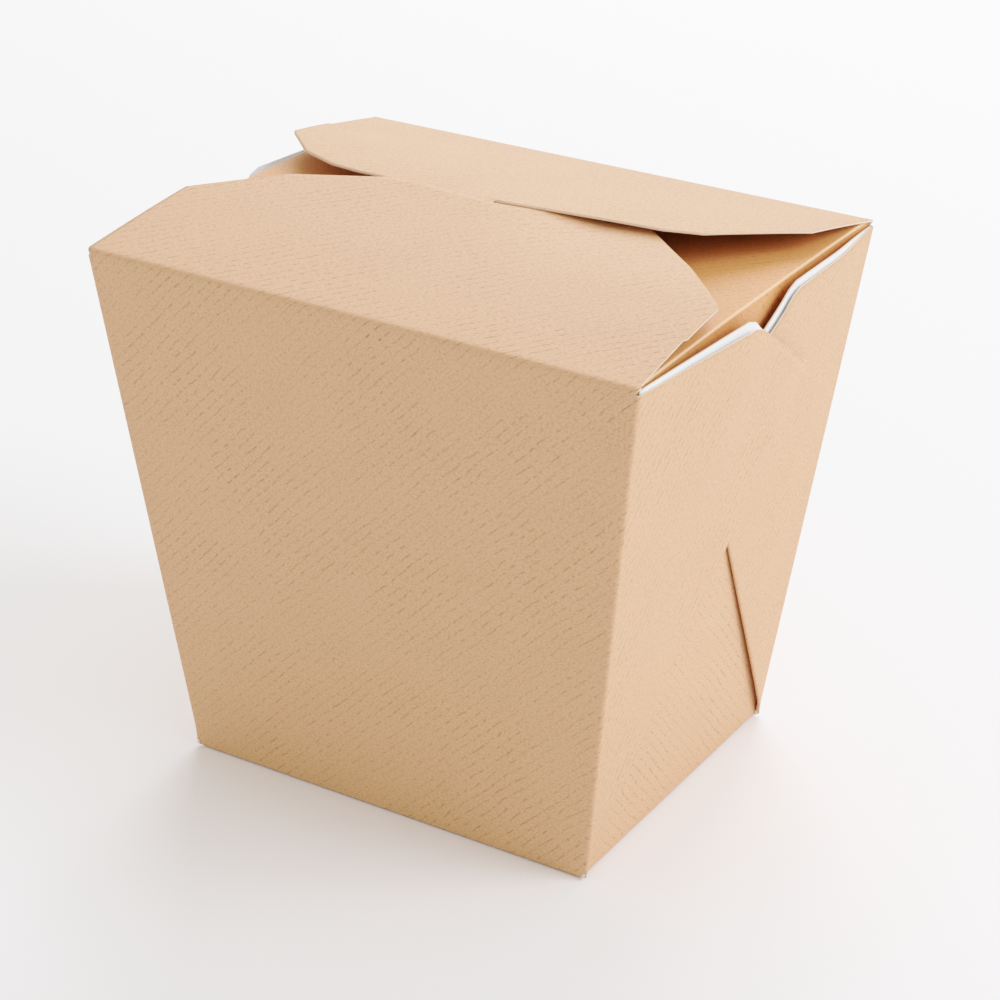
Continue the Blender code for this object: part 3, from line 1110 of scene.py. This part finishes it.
floor_corners = [(-FLOOR_HALF, -FLOOR_HALF, 0), (FLOOR_HALF, -FLOOR_HALF, 0),
                 (FLOOR_HALF, FLOOR_HALF, 0), (-FLOOR_HALF, FLOOR_HALF, 0)]
floor_mesh = bpy.data.meshes.new("floor")
floor_mesh.from_pydata(floor_corners, [], [(0, 1, 2, 3)])
floor = bpy.data.objects.new("floor", floor_mesh)
floor.location.z = FLOOR_LEVEL
bpy.context.scene.collection.objects.link(floor)
floor_paint = bpy.data.materials.new("floor")
floor_paint.use_nodes = True
floor_shader = floor_paint.node_tree.nodes["Principled BSDF"]
floor_shader.inputs["Base Color"].default_value = FLOOR_WHITE
floor_shader.inputs["Roughness"].default_value = FLOOR_ROUGHNESS
floor_mesh.materials.append(floor_paint)
print("the floor is", 2 * FLOOR_HALF, "m wide")

# %% Light from all round
WORLD_COLOUR = (1.0, 0.99, 0.95, 1.0)
WORLD_LIGHT = 0.92

world = bpy.data.worlds.new("studio")
world.use_nodes = True
background = world.node_tree.nodes["Background"]
background.inputs["Color"].default_value = WORLD_COLOUR
background.inputs["Strength"].default_value = WORLD_LIGHT
bpy.context.scene.world = world
print("world light:", WORLD_LIGHT)

# %% [markdown]
# ## The camera's response
#
# A camera doesn't record light evenly. Bright tones ease off before they reach white, and the
# darkest tones sink, which is why the gaps in the photo look deep while the flaps stay soft. Lamps
# alone can't do both. Blender's view settings have a curve for it: the Standard view keeps the
# colours true, and the curve adds a soft shoulder up to twice white and a toe near black.

# %% Response curve
WHITE_LEVEL = 2.0
TOE = 0.28
TOE_POWER = 0.35
CURVE_SHARES = (0.01, 0.03, 0.07, 0.14, 0.25, 0.4, 0.6, 0.8)

view = bpy.context.scene.view_settings
view.view_transform = "Standard"
view.use_curve_mapping = True
response = view.curve_mapping
response.white_level = (WHITE_LEVEL, WHITE_LEVEL, WHITE_LEVEL)
curve = response.curves[3]
for share in CURVE_SHARES:
    light = share * WHITE_LEVEL
    light *= min(light / TOE, 1.0) ** TOE_POWER
    curve.points.new(share, (1.0 - math.exp(-light)) / (1.0 - math.exp(-WHITE_LEVEL)))
response.update()
print("the response curve has", len(curve.points), "points")

# %% [markdown]
# ## Two soft lamps
#
# In the photo the right end and the top are brighter than the front, and no shadow has a hard
# edge. A sun lamp would make hard ones. Two square area lamps, almost a metre wide, do better: one
# stands to the right and a little behind the box, the other behind it and to the left.

# %% Lamps
KEY_PLACE, KEY_SIZE, KEY_LIGHT = (1.0, 0.25, 0.75), 0.8, 12.2
KEY_COLOUR = (0.98, 0.99, 1.1)
BACK_PLACE, BACK_SIZE, BACK_LIGHT = (-0.45, 1.05, 0.95), 0.9, 14.0
BACK_COLOUR = (1.0, 0.99, 1.06)


def area_light(name, place, aim, size, power, colour):
    """A square soft light at a place, aimed at another."""
    data = bpy.data.lights.new(name, "AREA")
    data.size = size
    data.energy = power
    data.color = colour
    item = bpy.data.objects.new(name, data)
    item.location = place
    item.rotation_euler = (Vector(aim) - Vector(place)).to_track_quat("-Z", "Y").to_euler()
    bpy.context.scene.collection.objects.link(item)


box_middle = (0.0, 0.0, HEIGHT / 2 * MM)
area_light("key", KEY_PLACE, box_middle, KEY_SIZE, KEY_LIGHT, KEY_COLOUR)
area_light("back", BACK_PLACE, box_middle, BACK_SIZE, BACK_LIGHT, BACK_COLOUR)
print("lamps:", KEY_LIGHT, "and", BACK_LIGHT, "W")

# %% [markdown]
# ## Camera
#
# The camera stands where the photo's did: its turn, height, distance, lens and slight roll were
# found from the corners of the box. A constraint could aim it, but it would leave out the roll.
# So three axes are worked out from the angles: backward from the box to the camera, then sideways
# and upward in the picture.

# %% Axes of the camera
CAMERA_TURN = math.radians(31.029)
CAMERA_RISE = math.radians(25.794)
CAMERA_ROLL = math.radians(0.968)

backward = Vector((math.sin(CAMERA_TURN) * math.cos(CAMERA_RISE),
                   -math.cos(CAMERA_TURN) * math.cos(CAMERA_RISE), math.sin(CAMERA_RISE)))
level = Vector((math.cos(CAMERA_TURN), math.sin(CAMERA_TURN), 0.0))
upright = backward.cross(level)
sideways = level * math.cos(CAMERA_ROLL) + upright * math.sin(CAMERA_ROLL)
upward = backward.cross(sideways)
print("backward axis:", [round(part, 3) for part in backward])

# %% Camera in its place
CAMERA_DISTANCE = 488.7
CAMERA_LENS = 96.77
AIM = Vector((3.17, 0.0, 49.33))

camera_data = bpy.data.cameras.new("camera")
camera_data.lens = CAMERA_LENS
camera = bpy.data.objects.new("camera", camera_data)
stand = (AIM + backward * CAMERA_DISTANCE) * MM
axes = Matrix((sideways, upward, backward)).transposed().to_4x4()
camera.matrix_world = Matrix.Translation(stand) @ axes
bpy.context.scene.collection.objects.link(camera)
bpy.context.scene.camera = camera
print("camera at, m:", [round(part, 3) for part in stand])
